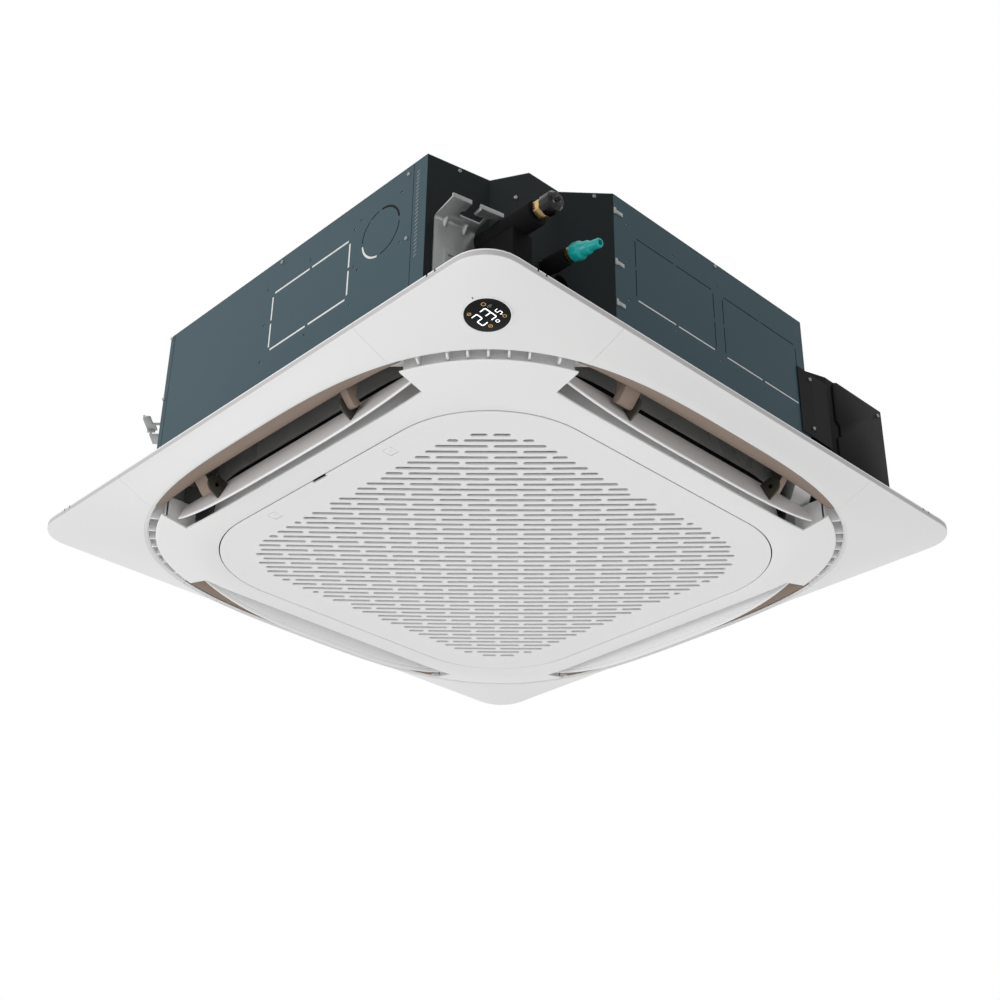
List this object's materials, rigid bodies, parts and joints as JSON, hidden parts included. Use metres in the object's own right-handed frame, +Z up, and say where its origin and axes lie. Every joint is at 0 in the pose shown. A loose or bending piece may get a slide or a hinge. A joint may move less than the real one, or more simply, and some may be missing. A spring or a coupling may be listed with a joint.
{
  "type": "ceiling cassette air conditioner",
  "caption": "Square four-way ceiling cassette: white panel with slotted hinged intake grille, curved louvres in four outlets, sheet-steel body with fan, coil, drain pan, pipe ends and hangers.",
  "frame": {"origin": "middle of the panel, on the plane where the rim lies against the ceiling", "axes": "+Z up into the ceiling, along the fan axis; -Y is the panel side beside the pipe recess with the latches; +X is the side where the pipes leave"},
  "size_m": [0.95, 0.95, 0.3206],
  "materials": {
    "panel_white": "matt moulded white",
    "grille_white": "matt moulded white, a little greyer",
    "lens_black": "gloss black window",
    "flocked_tan": "short tan-brown flock that keeps water drops off",
    "duct_grey": "dark grey moulding",
    "inner_white": "off-white moulding",
    "casing_steel": "galvanized sheet, blue-grey, half matt",
    "foam_dark": "dark foamed plastic",
    "coil_aluminium": "bare fins",
    "black_plastic": "matt black",
    "zinc_steel": "zinc-plated sheet",
    "copper": "copper tube",
    "brass": "forged brass",
    "cap_teal": "moulded blue-green cap"
  },
  "bodies": {
    "unit": {"bellmouth": "black_plastic", "casing_top": "casing_steel", "casing_wall": "casing_steel", "coil_corner_plate": "coil_aluminium", "control_box": "black_plastic", "control_box_lid": "black_plastic", "corner_cover_back_left": "panel_white", "corner_cover_back_right": "panel_white", "corner_cover_front_left": "panel_white", "corner_cover_front_right": "panel_white", "corner_duct_back_left": "duct_grey", "corner_duct_back_right": "duct_grey", "corner_duct_front_left": "duct_grey", "corner_duct_front_right": "duct_grey", "display_lens": "lens_black", "drain_outlet": "black_plastic", "drain_pan": "foam_dark", "drain_pump": "inner_white", "fan_motor": "inner_white", "float_switch": "inner_white", "foam_liner": "foam_dark", "gas_cap": "black_plastic", "gas_flare_nut": "brass", "gas_insulation": "black_plastic", "gas_pipe": "copper", "hanger_back_left": "zinc_steel", "hanger_back_right": "zinc_steel", "hanger_front_left": "zinc_steel", "hanger_front_right": "zinc_steel", "heat_exchanger": "coil_aluminium", "inner_frame": "panel_white", "liquid_cap": "cap_teal", "liquid_flare_nut": "brass", "liquid_insulation": "black_plastic", "liquid_pipe": "copper", "louvre_motor_back": "inner_white", "louvre_motor_front": "inner_white", "louvre_motor_left": "inner_white", "louvre_motor_right": "inner_white", "motor_bracket": "zinc_steel", "outlet_lining_back": "flocked_tan", "outlet_lining_front": "flocked_tan", "outlet_lining_left": "flocked_tan", "outlet_lining_right": "flocked_tan", "panel_frame": "panel_white"},
    "grille": {"intake_grille": "grille_white", "air_filter": "black_plastic"},
    "left_latch": {"latch_left": "grille_white"},
    "right_latch": {"latch_right": "grille_white"},
    "fan": {"turbofan": "black_plastic", "motor_shaft": "zinc_steel", "fan_nut": "zinc_steel"},
    "float_body": {"float": "black_plastic"},
    "louvre_front_body": {"louvre_front": "panel_white"},
    "louvre_right_body": {"louvre_right": "panel_white"},
    "louvre_back_body": {"louvre_back": "panel_white"},
    "louvre_left_body": {"louvre_left": "panel_white"}
  },
  "joints": [
    {"name": "swing_front", "type": "hinge", "parent": "unit", "child": "louvre_front_body", "pos_m": [0, -0.389, -0.028], "axis": [1, 0, 0], "range_deg": [-69.4, 10]},
    {"name": "swing_right", "type": "hinge", "parent": "unit", "child": "louvre_right_body", "pos_m": [0.389, 0, -0.028], "axis": [0, 1, 0], "range_deg": [-69.4, 10]},
    {"name": "swing_back", "type": "hinge", "parent": "unit", "child": "louvre_back_body", "pos_m": [0, 0.389, -0.028], "axis": [-1, 0, 0], "range_deg": [-69.4, 10]},
    {"name": "swing_left", "type": "hinge", "parent": "unit", "child": "louvre_left_body", "pos_m": [-0.389, 0, -0.028], "axis": [0, -1, 0], "range_deg": [-69.4, 10]},
    {"name": "grille_hinge", "type": "hinge", "parent": "unit", "child": "grille", "pos_m": [0, 0.334, -0.0415], "axis": [1, 0, 0], "range_deg": [0, 85]},
    {"name": "press_left_latch", "type": "slide", "parent": "grille", "child": "left_latch", "axis": [0, 0, 1], "range_m": [0, 0.003], "stiffness_N_per_m": 400},
    {"name": "press_right_latch", "type": "slide", "parent": "grille", "child": "right_latch", "axis": [0, 0, 1], "range_m": [0, 0.003], "stiffness_N_per_m": 400},
    {"name": "fan_spin", "type": "hinge", "parent": "unit", "child": "fan", "pos_m": [0, 0, 0.15], "axis": [0, 0, 1], "continuous": true},
    {"name": "float_rise", "type": "slide", "parent": "unit", "child": "float_body", "axis": [0, 0, 1], "range_m": [0, 0.008]}
  ]
}
